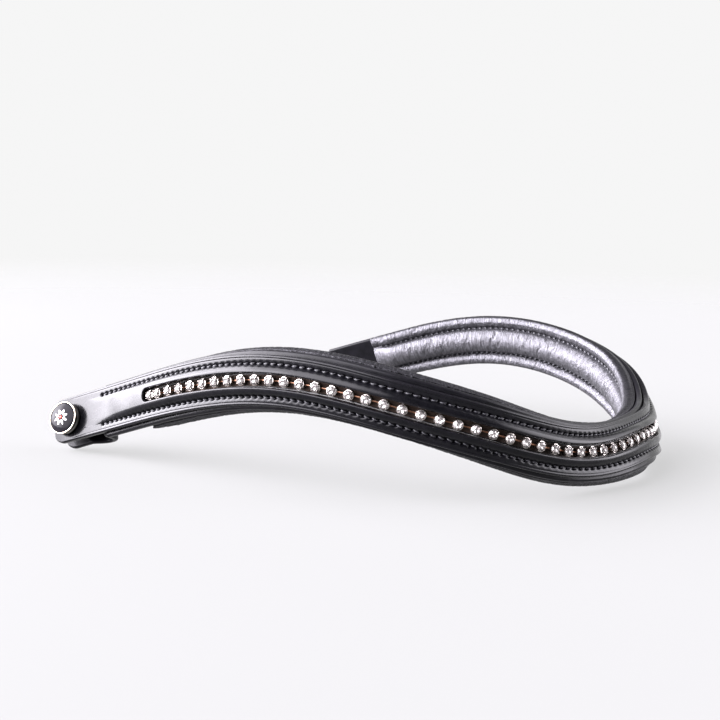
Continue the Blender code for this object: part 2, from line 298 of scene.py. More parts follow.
def leather(name, low, high, rough, grain=0.16, worn=None, coat=0.25):
    """Smooth bridle leather: fine pores, uneven polish and worn edges."""
    mat, n, shader = new_material(name, Coat_Roughness=0.12, Coat_Weight=coat,
                                  Coat_IOR=1.22, Specular_IOR_Level=0.06)
    where = millimetres(n)
    tone = n.spots(where, 0.35, 4, 0.6)
    colour = n.blend(tone, low, high)
    colour.color_ramp.elements[0].position, colour.color_ramp.elements[1].position = 0.35, 0.7
    out = colour.outputs[0]
    if worn:
        mix = n.new("ShaderNodeMix", data_type="RGBA")
        mix.inputs["B"].default_value = (*worn, 1)
        n.link(n.maths("MULTIPLY", field(n, "worn"), n.spots(where, 1.3, 3), clamp=True),
               mix.inputs["Factor"])
        n.link(out, mix.inputs["A"])
        out = mix.outputs["Result"]
    n.link(out, shader.inputs["Base Color"])
    polish = n.spread(n.spots(where, 0.22, 3), 0.3, 0.7, rough - 0.05, rough + 0.06)
    n.link(polish, shader.inputs["Roughness"])
    pores = n.maths("ADD", n.spots(where, 5.5, 3, 0.7), n.cells(where, 3.2))
    fine = n.bump(pores, grain, 0.05)
    n.link(n.bump(n.spots(where, 0.5, 2), 0.10, 0.5, fine), shader.inputs["Normal"])
    return mat


def pewter_leather():
    mat, n, shader = new_material("pewter_lining_leather", Metallic=0.82, Coat_Weight=0.1,
                                  Coat_Roughness=0.3)
    flat = flat_place(n)
    where = millimetres(n)
    creases = n.spots(n.stretch(flat, (1.5, 0.22, 1)), 1.0, 4, 0.62, 0.6)
    fine = n.spots(n.stretch(flat, (3.4, 0.7, 1)), 1.0, 3, 0.6, 0.4)
    mottled = n.spots(where, 0.5, 3, 0.6)
    # the colour follows the crease bump, darker in the crease valleys: painted shade in the
    # creases, mixed with mottled tone
    tone = n.maths("ADD", n.maths("MULTIPLY", creases, 0.55), n.maths("MULTIPLY", mottled, 0.45))
    colour = n.blend(tone, (0.029, 0.0282, 0.0318), (0.081, 0.0795, 0.088))
    colour.color_ramp.elements[0].position, colour.color_ramp.elements[1].position = 0.34, 0.64
    # the lining's sides and underside next to the strap are painted near black: painted shade in
    # the gap between pad and strap
    gap_shade = n.new("ShaderNodeMix", data_type="RGBA")
    gap_shade.inputs["B"].default_value = (0.012, 0.0115, 0.014, 1)
    n.link(field(n, "edge"), gap_shade.inputs["Factor"])
    n.link(colour.outputs[0], gap_shade.inputs["A"])
    n.link(gap_shade.outputs["Result"], shader.inputs["Base Color"])
    n.link(n.spread(mottled, 0.3, 0.7, 0.42, 0.54), shader.inputs["Roughness"])
    first = n.bump(n.spots(where, 7, 3, 0.7), 0.16, 0.05)
    second = n.bump(fine, 0.5, 0.2, first)
    n.link(n.bump(creases, 0.85, 0.55, second), shader.inputs["Normal"])
    return mat


def thread():
    mat, n, shader = new_material("waxed_black_thread", Specular_IOR_Level=0.3, Coat_Weight=0.1,
                                  Coat_Roughness=0.3)
    where = millimetres(n)
    ply = n.spots(where, 7.0, 2)
    n.link(n.blend(ply, (0.008, 0.008, 0.010), (0.035, 0.034, 0.040)).outputs[0],
           shader.inputs["Base Color"])
    n.link(n.spread(ply, 0.3, 0.7, 0.35, 0.6), shader.inputs["Roughness"])
    n.link(n.bump(ply, 0.4, 0.06), shader.inputs["Normal"])
    return mat


def metal(name, low, high, rough, scratch=0.25):
    mat, n, shader = new_material(name, Metallic=1.0)
    where = millimetres(n)
    tarnish = n.spots(where, 1.1, 4, 0.6)
    n.link(n.blend(tarnish, low, high).outputs[0], shader.inputs["Base Color"])
    n.link(n.spread(n.spots(where, 2.0, 3), 0.3, 0.7, rough - 0.05, rough + 0.08),
           shader.inputs["Roughness"])
    n.link(n.bump(n.spots(n.stretch(where, (9, 9, 1.5)), 1.0, 3), scratch, 0.02),
           shader.inputs["Normal"])
    return mat


def crystal():
    """Foil-backed cut crystal: bright facets with slight tint and fire, and painted glints: a faint
    glow in patches.
    """
    mat, n, shader = new_material("foiled_crystal", Metallic=0.75, Coat_Weight=0.4,
                                  Coat_Roughness=0.02)
    where = millimetres(n)
    fire = n.spots(where, 1.9, 2, 0.5)
    colour = n.blend(fire, (0.10, 0.086, 0.08), (0.39, 0.365, 0.36))
    colour.color_ramp.elements[0].position, colour.color_ramp.elements[1].position = 0.38, 0.52
    n.link(colour.outputs[0], shader.inputs["Base Color"])
    n.link(n.spread(fire, 0.3, 0.7, 0.05, 0.14), shader.inputs["Roughness"])
    # painted glints: a faint glow in patches stands in for light sent back up by the foil under the
    # stone
    painted_glint = n.cells(where, 1.15)
    n.link(colour.outputs[0], shader.inputs["Emission Color"])
    n.link(n.spread(painted_glint, 0.15, 0.75, 0.0, 0.24), shader.inputs["Emission Strength"])
    return mat


def felt(name, low, high):
    mat, n, shader = new_material(name, Roughness=0.92, Specular_IOR_Level=0.15, Sheen_Weight=0.3)
    where = millimetres(n)
    fibre = n.spots(where, 3.0, 5, 0.75)
    n.link(n.blend(fibre, low, high).outputs[0], shader.inputs["Base Color"])
    n.link(n.bump(fibre, 0.6, 0.15), shader.inputs["Normal"])
    return mat


def enamel():
    mat, n, shader = new_material("black_dome", Coat_Weight=0.10, Coat_Roughness=0.03,
                                  Coat_IOR=1.2, Specular_IOR_Level=0.03)
    where = millimetres(n)
    depth = n.spots(where, 0.8, 2)
    n.link(n.blend(depth, (0.004, 0.004, 0.005), (0.010, 0.009, 0.011)).outputs[0],
           shader.inputs["Base Color"])
    n.link(n.spread(depth, 0.3, 0.7, 0.08, 0.16), shader.inputs["Roughness"])
    return mat


black = leather("black_bridle_leather", (0.0016, 0.0016, 0.0022), (0.0036, 0.0034, 0.0045), 0.27,
                worn=(0.007, 0.0065, 0.008), coat=0.52)
black_base = leather("black_base_leather", (0.0024, 0.0024, 0.003), (0.0048, 0.0045, 0.006), 0.34,
                     grain=0.22, worn=(0.007, 0.0065, 0.008), coat=0.28)
pewter = pewter_leather()
thread_mat = thread()
cup_mat = metal("silver_cups", (0.40, 0.36, 0.33), (0.62, 0.58, 0.55), 0.24)
link_mat = metal("copper_links", (0.08, 0.04, 0.025), (0.24, 0.13, 0.085), 0.38)
cap_mat = metal("gunmetal", (0.10, 0.095, 0.09), (0.24, 0.23, 0.22), 0.30)
bezel_mat = metal("pale_gilt", (0.36, 0.315, 0.25), (0.58, 0.52, 0.43), 0.22)
steel_mat = metal("nickel", (0.42, 0.41, 0.39), (0.62, 0.61, 0.59), 0.27)
crystal_mat = crystal()
disc_mat = enamel()
inlay_mat = metal("silver_inlay", (0.36, 0.355, 0.35), (0.52, 0.515, 0.51), 0.30)
red_mat = metal("red_centre", (0.30, 0.02, 0.015), (0.48, 0.04, 0.03), 0.25)
felt_mat = felt("crown_felt", (0.012, 0.010, 0.009), (0.035, 0.030, 0.026))
bed_mat = felt("slot_suede", (0.010, 0.006, 0.004), (0.030, 0.018, 0.012))

# ---- front strap ---------------------------------------------------------------------------------
HALF_LENGTH, FRONT_HALF = 216.0, 7.2
SEAM_V, SEAM_END, STITCHES = 4.72, 194.4, 174
STITCH = 2 * SEAM_END / STITCHES
FRONT_BACK, FRONT_FACE = 2.45, 4.35
CROWN_RISE, CROWN_END, CROWN_FADE = 1.55, 184.0, 12.0
SLOT_HALF, SLOT_END, SLOT_LIP = 2.0, 173.6, 0.34
TIP_ROUND, EDGE_ROUND = 3.5, 0.5
CREASE_V, CREASE_DEEP = 6.32, 0.05        # fine creased line near each edge
DENT_REACH, DENT_DEEP = 0.50, 0.82        # where the awl and thread pull the leather in


def stations(half, step, extra=()):
    count = int(round(2 * half / step))
    places = np.linspace(-half, half, count + 1)
    extra = np.array([e for e in extra] + [-e for e in extra])
    return np.unique(np.round(np.concatenate((places, extra)), 5))


def crown_at(s):
    return CROWN_RISE * (1 - smooth_step(np.abs(s), CROWN_END - 11, CROWN_END + CROWN_FADE + 6))


def slot_half(s):
    a = np.abs(s)
    return np.where(a < SLOT_END, round_end(SLOT_END - a, SLOT_HALF, SLOT_HALF), 0.0)


def near_hole(s, reach):
    """How close s is to a needle hole, 1 at the hole."""
    phase = (s + SEAM_END) / STITCH
    return np.exp(-((phase - np.round(phase)) * STITCH / reach) ** 2)


def front_top(s, v):
    """Height of the front face: raised centre, slot lips, seam with its dents, edge creases."""
    a = np.abs(v)
    slot = slot_half(s)
    t = np.clip((a - 2.2) / 2.2, 0, 1)
    w = FRONT_FACE + crown_at(s) * (1 - t ** 2.4) ** 0.75
    w = w + 0.045 * wander(s, v, 11.0, 3) * (a < 4.3) + 0.03 * wander(s, v, 24.0, 4)
    into = np.clip(1 - (a - slot) / SLOT_LIP, 0, 1)
    w = w - 0.42 * (1 - np.sqrt(1 - into ** 2)) * (slot / SLOT_HALF)
    seam = ramp(np.abs(s), SEAM_END + 0.2, SEAM_END + 1.0)
    shifted = s + (a - SEAM_V) * 0.35
    w = w - seam * 0.08 * bump_at(a, SEAM_V, 0.34)
    w = w - seam * DENT_DEEP * near_hole(shifted, DENT_REACH) * bump_at(a, SEAM_V - 0.05, 0.46)
    w = w + seam * 0.07 * (1 - near_hole(shifted, 0.7)) * bump_at(a, SEAM_V - 0.55, 0.3)
    w = w - CREASE_DEEP * bump_at(a, CREASE_V, 0.13) * ramp(np.abs(s), 207, 209)
    return w


def make_front():
    """The front strap, as two long halves joined by the slot's walls."""
    at_slot_end = [SLOT_END - d for d in (0.01, 0.06, 0.15, 0.3, 0)]
    s = stations(HALF_LENGTH, STITCH / 6, at_slot_end + [215.95, 215.8, 215.55, 214.9])
    depth = HALF_LENGTH - np.abs(s)
    slot = slot_half(s)
    wide = round_end(depth, FRONT_HALF, TIP_ROUND) / FRONT_HALF
    near = np.array([0, 0.03, 0.08, 0.15, 0.24, SLOT_LIP])
    rest = np.concatenate((np.linspace(2.5, 4.1, 9), np.linspace(4.2, 5.3, 12),
                           (5.5, 5.8, 6.05, 6.18, 6.25, 6.32, 6.39, 6.46, 6.6)))
    turn = np.linspace(0, math.pi / 2, 7)
    edge_v = FRONT_HALF - EDGE_ROUND + EDGE_ROUND * np.sin(turn)
    edge_drop = EDGE_ROUND * (1 - np.cos(turn))
    short = np.clip(EDGE_ROUND - depth, 0, EDGE_ROUND)
    tip_drop = EDGE_ROUND - np.sqrt(EDGE_ROUND ** 2 - short ** 2)
    rows, worn = [], []
    for sign in (1, -1):
        a = np.concatenate((slot[:, None] + near[None, :],
                            np.broadcast_to(rest, (len(s), len(rest))),
                            np.broadcast_to(edge_v, (len(s), len(edge_v)))), axis=1)
        grid_s = np.broadcast_to(s[:, None], a.shape)
        w = front_top(grid_s, sign * a)
        w[:, -len(edge_v):] -= edge_drop
        w = w - tip_drop[:, None]
        under = FRONT_BACK + crown_at(s)
        back_v = np.array([FRONT_HALF, FRONT_HALF - 0.08, FRONT_HALF - 0.3, 4.15, 3.75])
        back_w = np.stack([FRONT_BACK + 0.35 + 0 * s, FRONT_BACK + 0.1 + 0 * s,
                           FRONT_BACK + 0 * s, FRONT_BACK + 0 * s, under], axis=1)
        bv = np.concatenate((np.broadcast_to(back_v, (len(s), 5)), slot[:, None]), axis=1)
        bw = np.concatenate((back_w, under[:, None]), axis=1) + tip_drop[:, None] * 0.6
        v_all = np.concatenate((a, bv), axis=1) * sign * wide[:, None]
        w_all = np.concatenate((w, bw), axis=1)
        s_all = np.broadcast_to(s[:, None], v_all.shape)
        rows.append(np.stack((s_all, v_all, w_all), -1))
        rim = bump_at(np.abs(v_all), FRONT_HALF - 0.15, 0.28) + 0.8 * bump_at(
            np.abs(v_all) - slot[:, None], 0.1, 0.18) * (slot[:, None] > 0.3)
        worn.append(np.clip(rim, 0, 1))
    points, fields, faces = [], [], []
    start = 0
    cols = rows[0].shape[1]
    for part, edge in zip(rows, worn):
        points.append(part.reshape(-1, 3))
        fields.append(edge.ravel())
        faces += [list(f) for f in grid_faces(len(s), cols, start=start)]
        faces.append([start + k for k in range(cols)])
        faces.append([start + (len(s) - 1) * cols + k for k in range(cols)])
        start += part.shape[0] * cols
    inside = np.abs(s) <= SLOT_END + 1e-4
    for part in rows:
        low, high = part[inside][:, -1], part[inside][:, 0]
        steps = np.linspace(0, 1, 5)[None, :, None]
        wall = low[:, None] * (1 - steps) + high[:, None] * steps
        points.append(wall.reshape(-1, 3))
        fields.append(np.zeros(wall.shape[0] * 5))
        faces += [list(f) for f in grid_faces(len(wall), 5, start=start)]
        start += wall.shape[0] * 5
    flat = np.concatenate(points)
    item = new_piece("front_leather", lie(flat), faces, black, uv=flat[:, :2],
                     fields={"worn": np.concatenate(fields)}, merge=2e-6, sharp=60)
    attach(item, "band")
    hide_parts("front_strap")


def capsules(name, places, mat, half_length, radius, slant, height, end_drop, sides=8, rings=7):
    """Stitches joined in one mesh: places are (s, v) of their middles, height(s, v) their w."""
    t = np.linspace(-1, 1, rings)
    x = half_length * np.sin(t * math.pi / 2)
    r = radius * np.sqrt(np.clip(1 - np.abs(t) ** 3.0, 0, 1)) + 0.015
    turn = np.arange(sides) * 2 * math.pi / sides
    px = np.repeat(x, sides)
    py = (r[:, None] * np.cos(turn)).ravel()
    pz = (0.9 * r[:, None] * np.sin(turn)).ravel() - end_drop * (px / half_length) ** 2
    base = [list(f) for f in grid_faces(rings, sides, closed=True)]
    base += [list(range(sides)), list(range((rings - 1) * sides, rings * sides))]
    points, faces = [], []
    for k, (s0, v0, sign) in enumerate(places):
        c, d = math.cos(slant * sign), math.sin(slant * sign)
        lift = 0.03 * math.sin(k * 12.9898)
        points.append(np.stack((s0 + px * c - py * d, v0 + px * d + py * c,
                                height(s0, v0) + pz + lift), -1))
        faces += [[i + k * rings * sides for i in f] for f in base]
    flat = np.concatenate(points)
    return new_piece(name, lie(flat), faces, mat)


def make_front_stitches():
    for word, sign in (("upper", 1), ("lower", -1)):
        places = [(-SEAM_END + (k + 0.5) * STITCH, sign * SEAM_V, sign) for k in range(STITCHES)]
        item = capsules(f"front_stitches_{word}", places, thread_mat, 0.92, 0.23, 0.22,
                        lambda s, v: FRONT_FACE - 0.24, 0.42)
        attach(item, "band")
        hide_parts(f"front_thread_{word}")


# ---- base strap and tongues ----------------------------------------------------------------------
BASE_HALF, BASE_BACK, BASE_FACE, BASE_END = 8.4, 0.15, 2.15, 195.2


def rounded_section(half, back, face, radius, across=7, turns=5):
    """Outline of a strap with rounded edges, as (v, w), from the middle of its face."""
    flat = half - radius
    out = [(v, face) for v in np.linspace(0, flat, across)[:-1]]
    for sv, sw in ((1, 1), (1, -1), (-1, -1), (-1, 1)):
        angles = np.linspace(0, math.pi / 2, turns)
        if sv != sw:
            angles = angles[::-1]
        level = face - radius if sw > 0 else back + radius
        out += [(sv * (flat + radius * math.sin(x)), level + sw * radius * math.cos(x))
                for x in angles]
        if sv > 0 > sw:
            out += [(v, back) for v in np.linspace(flat, -flat, 2 * across)[1:-1]]
    out += [(v, face) for v in np.linspace(-flat, 0, across)[1:-1]]
    return np.array(out)


def sheet(s, outline):
    """Outline repeated at every s, as points (n, m, 3)."""
    shape = len(s), len(outline)
    return np.stack([np.broadcast_to(x, shape)
                     for x in (s[:, None], outline[:, 0], outline[:, 1])], -1).copy()


def make_base():
    s = stations(BASE_END, 1.1)
    rings = sheet(s, rounded_section(BASE_HALF, BASE_BACK, BASE_FACE, 0.72))
    rings[..., 1] *= 1 + 0.006 * wander(rings[..., 0], 0, 30, 12)
    worn = bump_at(np.abs(rings[..., 1]), BASE_HALF, 0.35).ravel()
    item = laid("base_leather", rings, black_base, fields={"worn": worn}, sharp=60)
    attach(item, "band")
    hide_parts("base_strap")


TONGUE_HALF, TONGUE_THICK, STUD_S = 7.8, 1.9, 210.0
TONGUE_PATH = ((194.9, 1.2), (195.5, 1.15), (196.1, 1.05), (196.8, 0.2), (197.2, -0.9),
               (197.7, -2.8), (198.6, -4.8), (200.0, -5.8), (201.6, -5.9), (203.1, -5.2),
               (204.4, -4.0), (205.4, -2.9), (206.2, -2.45), (212.6, -2.45), (213.9, -2.45),
               (215.1, -2.45), (215.7, -2.45))
TIP_END = 215.7


def make_tongue(side, word):
    path = np.array(TONGUE_PATH)
    knots = np.concatenate(([0], np.cumsum(np.hypot(*np.diff(path, axis=0).T))))
    u = np.linspace(0, knots[-1], 90)
    u = np.unique(np.concatenate((u, knots[-1] - np.array([0.05, 0.2, 0.5, 0.9]))))
    ps, pw = natural_spline(knots, path[:, 0])(u), natural_spline(knots, path[:, 1])(u)
    pw = np.where(ps > 206.2, -2.45, pw)
    ds, dw = np.gradient(ps, u), np.gradient(pw, u)
    size = np.hypot(ds, dw)
    ns, nw = -dw / size, ds / size
    wide = round_end(TIP_END - ps, TONGUE_HALF, 3.5)
    thin = np.clip(round_end(TIP_END - ps, TONGUE_THICK / 2, 0.6) / (TONGUE_THICK / 2), 0.35, 1)
    section = rounded_section(TONGUE_HALF, -TONGUE_THICK / 2, TONGUE_THICK / 2, 0.6)
    rings = []
    for k in range(len(u)):
        v = section[:, 0] * wide[k] / TONGUE_HALF
        h = section[:, 1] * thin[k]
        rings.append(np.stack((side * (ps[k] + ns[k] * h), v, pw[k] + nw[k] * h), -1))
    rings = np.array(rings)
    worn = bump_at(np.abs(rings[..., 1]), TONGUE_HALF, 0.4).ravel()
    item = laid(f"{word}_tongue_leather", rings, black_base, fields={"worn": worn}, sharp=60)
    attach(item, f"{word}_loop")
    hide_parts(f"{word}_tongue")


# ---- crystal chain -------------------------------------------------------------------------------
STONE_PITCH, STONE_COUNT, END_STONE_SHIFT = 4.8, 73, 1.44
CUP_RADIUS = 1.45


def stone_places():
    last = (STONE_COUNT - 1) / 2
    places = [STONE_PITCH * (k - last) for k in range(STONE_COUNT)]
    places[0] += END_STONE_SHIFT
    places[-1] -= END_STONE_SHIFT
    return places


def set_down(points, s0):
    """Local points (along, across, up from the band's middle plane) put at s0 as a rigid part."""
    centre, t, up, front = axes_at(s0)
    points = np.asarray(points, float)
    return (centre + points[:, :1] * t + points[:, 1:2] * up + points[:, 2:3] * front) * MM


def circle(radius, w, count, turn=0.0):
    a = np.arange(count) * 2 * math.pi / count + turn
    return np.stack((radius * np.cos(a), radius * np.sin(a), np.full(count, w)), -1)


def cup_shape():
    """Cup with a rolled foot and four claws."""
    levels = ((1.15, 3.3), (1.30, 3.38), (1.38, 3.6), (1.38, 4.3), (1.49, 4.60), (1.50, 4.72),
              (1.41, 4.74), (1.32, 4.4))
    count = 24
    points = np.concatenate([circle(r, w, count) for r, w in levels])
    faces = [list(f) for f in grid_faces(len(levels), count, closed=True)]
    faces += [list(range(count)), [len(points) - count + k for k in range(count)]]
    claw = ((1.42, 4.2, 0.26), (1.50, 4.62, 0.25), (1.47, 4.90, 0.22), (1.34, 5.12, 0.19),
            (1.20, 5.22, 0.15), (1.12, 5.22, 0.09))
    for q in range(4):
        turn = math.pi / 4 + q * math.pi / 2
        out = np.array((math.cos(turn), math.sin(turn)))
        side = np.array((-math.sin(turn), math.cos(turn)))
        base = len(points)
        ring = []
        for k, (r, w, half) in enumerate(claw):
            thick = 0.17 if k < 4 else 0.13
            lean = min(1.0, k / 4)
            for across, deep in ((-half, -0.3), (-half * 0.7, 0.75), (half * 0.7, 0.75),
                                 (half, -0.3)):
                p = out * (r + deep * thick * (1 - 0.6 * lean)) + side * across
                ring.append((p[0], p[1], w + deep * thick * lean))
        points = np.concatenate((points, np.array(ring)))
        faces += [[i + base for i in f] for f in grid_faces(len(claw), 4, closed=True)]
        faces += [[base + k for k in range(4)],
                  [base + 4 * (len(claw) - 1) + k for k in range(4)]]
    return points, faces


def stone_shape(turn):
    """Round brilliant seen from above: folded table, star, kite and girdle facets."""
    points = [(0, 0, 5.16)]
    table = circle(0.70, 5.50, 8, turn)
    inner = circle(0.38, 5.28, 8, turn + math.pi / 8)
    middle = circle(1.08, 5.24, 8, turn + math.pi / 8)
    girdle = circle(1.38, 4.88, 16, turn)
    foot = circle(1.34, 4.70, 16, turn)
    points = np.concatenate((np.array(points), inner, table, middle, girdle, foot))
    i0, t0, m0, g0, f0 = 1, 9, 17, 25, 41
    faces = []
    for k in range(8):
        j = (k + 1) % 8
        faces += [[0, i0 + k, i0 + j], [i0 + k, t0 + j, i0 + j], [t0 + k, t0 + j, i0 + k],
                  [t0 + k, m0 + k, t0 + j], [t0 + j, m0 + k, g0 + 2 * j, m0 + j],
                  [m0 + k, g0 + 2 * k, g0 + 2 * k + 1],
                  [m0 + k, g0 + 2 * k + 1, g0 + (2 * k + 2) % 16]]
    for k in range(16):
        j = (k + 1) % 16
        faces.append([g0 + k, f0 + k, f0 + j, g0 + j])
    faces.append([f0 + k for k in range(15, -1, -1)])
    return points, faces


def make_chain():
    places = stone_places()
    cup_points, cup_faces = cup_shape()
    metal_p, metal_f, link_p, link_f, stone_p, stone_f = [], [], [], [], [], []
    count_m = count_l = count_s = 0
    for s0 in places:
        tip = rng.normal(0, 0.035, 2)
        tilt = np.array(((1, 0, 0), (0, 1, 0), (tip[0], tip[1], 1)))
        low = np.array((0, 0, 4.6))
        metal_p.append(set_down((cup_points - low) @ tilt.T + low, s0))
        metal_f += [[i + count_m for i in f] for f in cup_faces]
        count_m += len(cup_points)
        points, faces = stone_shape(rng.uniform(0, math.pi / 4))
        tip = tip + rng.normal(0, 0.05, 2)
        tilt = np.array(((1, 0, 0), (0, 1, 0), (tip[0], tip[1], 1)))
        stone_p.append(set_down((points - low) @ tilt.T + low, s0))
        stone_f += [[i + count_s for i in f] for f in faces]
        count_s += len(points)
    link = rounded_section(0.24, 3.32, 3.75, 0.10, across=2, turns=3)
    for a, b in zip(places[:-1], places[1:]):
        s = np.linspace(a + CUP_RADIUS - 0.25, b - CUP_RADIUS + 0.25, 6)
        narrow = 1 - 0.25 * np.sin(np.linspace(0, math.pi, 6))
        flat = np.array([[(x, v * n, w) for v, w in link] for x, n in zip(s, narrow)])
        link_p.append(lie(flat.reshape(-1, 3)))
        m = len(link)
        link_f += [[i + count_l for i in f] for f in grid_faces(6, m, closed=True)]
        link_f += [[count_l + k for k in range(m)], [count_l + 5 * m + k for k in range(m)]]
        count_l += 6 * m
    item = new_piece("cup_chain_metal", np.concatenate(metal_p), metal_f, cup_mat, sharp=35)
    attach(item, "band")
    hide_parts("cup_chain")
    links = new_piece("cup_chain_links", np.concatenate(link_p), link_f, link_mat, sharp=35)
    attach(links, "band")
    stones = new_piece("crystals", np.concatenate(stone_p), stone_f, crystal_mat, smooth=False)
    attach(stones, "band")


# ---- padded lining -------------------------------------------------------------------------------
PAD_END, PAD_TAPER = 175.6, 7.0
LINING_OUT = ((0, -6.3), (2.4, -5.7), (3.8, -4.35), (4.3, -2.6), (5.15, -2.6), (5.7, -4.0),
              (6.8, -4.9), (8.4, -4.2), (9.0, -2.2), (8.7, -0.15))


def skin_outline(count):
    """The lining's outline from one edge over the three channels to the other, evenly spaced."""
    half = np.array(LINING_OUT)
    whole = np.concatenate((half[::-1] * (-1, 1), half[1:]))
    run = np.concatenate(([0], np.cumsum(np.hypot(*np.diff(whole, axis=0).T))))
    fine = np.linspace(0, run[-1], 400)
    v, w = np.interp(fine, run, whole[:, 0]), np.interp(fine, run, whole[:, 1])
    kernel = bump_at(np.arange(-12, 13), 0, 4)
    kernel /= kernel.sum()
    v = np.convolve(np.pad(v, 12, mode="reflect", reflect_type="odd"), kernel, "valid")
    w = np.convolve(np.pad(w, 12, mode="reflect", reflect_type="odd"), kernel, "valid")
    run = np.concatenate(([0], np.cumsum(np.hypot(np.diff(v), np.diff(w)))))
    even = np.linspace(0, run[-1], count)
    return np.stack((np.interp(even, run, v), np.interp(even, run, w)), -1)


def pad_depth(s):
    """The padding thins towards its ends and turns under at them."""
    a = np.abs(s)
    thin = 0.5 + 0.5 * smooth_step(PAD_END - a, 0, PAD_TAPER + 2)
    turned = np.sqrt(np.clip(1 - (1 - np.clip((PAD_END - a) / 0.9, 0, 1)) ** 2, 0, 1))
    return thin * (0.12 + 0.88 * turned)


SIM_SCALE = 0.02          # metres in the simulation per millimetre of band
SIM_FRAMES = 16
SIM_SHRINK, SIM_PRESSURE = -0.010, 5.0    # cut a little long, then blown up
SIM_UNEVEN = 0.006        # seeded roughness that starts the wrinkles, in millimetres
SIM_REACH = 0.42          # a point may move this far, in millimetres


def inflate(s, outline):
    """Cloth held at the needle holes and edges, a little long, blown up from inside."""
    n, m = len(s), len(outline)
    turn = np.random.default_rng(21)
    flat = sheet(s, outline)
    flat[..., 2] += turn.normal(0, SIM_UNEVEN, (n, m))
    points = flat.reshape(-1, 3) * SIM_SCALE
    points[:, 2] *= -1
    mesh = bpy.data.meshes.new("lining_cloth")
    mesh.from_pydata([tuple(p) for p in points], [],
                     [list(map(int, f[::-1])) for f in grid_faces(n, m)])
    cloth = bpy.data.objects.new("lining_cloth", mesh)
    bpy.context.scene.collection.objects.link(cloth)
    held = cloth.vertex_groups.new(name="held")
    seam_cols = [int(np.argmin(np.abs(outline[:, 0] - v) + (np.abs(outline[:, 1]) > 3.4) * 9))
                 for v in (-SEAM_V, SEAM_V)]
    index = np.arange(n * m).reshape(n, m)
    phase = (s + SEAM_END) / STITCH
    at_hole = np.abs(phase - np.round(phase)) < 0.13
    pins = set(index[:, :2].ravel()) | set(index[:, -2:].ravel())
    pins |= set(index[:3].ravel()) | set(index[-3:].ravel())
    for c in seam_cols:
        pins |= set(index[at_hole, c].ravel())
    held.add([int(i) for i in pins], 1.0, "REPLACE")
    soft = cloth.modifiers.new("puff", "CLOTH")
    st = soft.settings
    st.quality = 5
    st.mass = 0.25
    st.tension_stiffness = st.compression_stiffness = 12
    st.shear_stiffness = 6
    st.bending_stiffness = 0.15
    st.air_damping = 2.0
    st.vertex_group_mass = "held"
    st.shrink_min = SIM_SHRINK
    st.use_pressure = True
    st.uniform_pressure_force = SIM_PRESSURE
    st.effector_weights.gravity = 0
    soft.collision_settings.use_collision = False
    scene = bpy.context.scene
    for f in range(1, SIM_FRAMES + 1):
        scene.frame_set(f)
    shaped = cloth.evaluated_get(bpy.context.evaluated_depsgraph_get())
    out = np.empty(n * m * 3)
    shaped.data.vertices.foreach_get("co", out)
    scene.frame_set(1)
    bpy.data.objects.remove(cloth, do_unlink=True)
    out = out.reshape(-1, 3) / SIM_SCALE
    out[:, 2] *= -1
    move = out.reshape(n, m, 3) - flat
    size = np.linalg.norm(move, axis=-1, keepdims=True)
    return flat + move * np.minimum(1, SIM_REACH / np.maximum(size, 1e-9))


def finer(grid, axis):
    """Twice as many points along an axis, on a smooth curve through the old ones."""
    grid = np.moveaxis(grid, axis, 0)
    ext = np.concatenate((2 * grid[:1] - grid[1:2], grid, 2 * grid[-1:] - grid[-2:-1]))
    mid = (9 * (ext[1:-2] + ext[2:-1]) - ext[:-3] - ext[3:]) / 16
    out = np.empty((2 * len(grid) - 1, *grid.shape[1:]))
    out[0::2], out[1::2] = grid, mid
    return np.moveaxis(out, 0, axis)


WRINKLES = ((1.15, 0.055), (0.8, 0.035), (2.2, 0.03))   # size and height of each kind


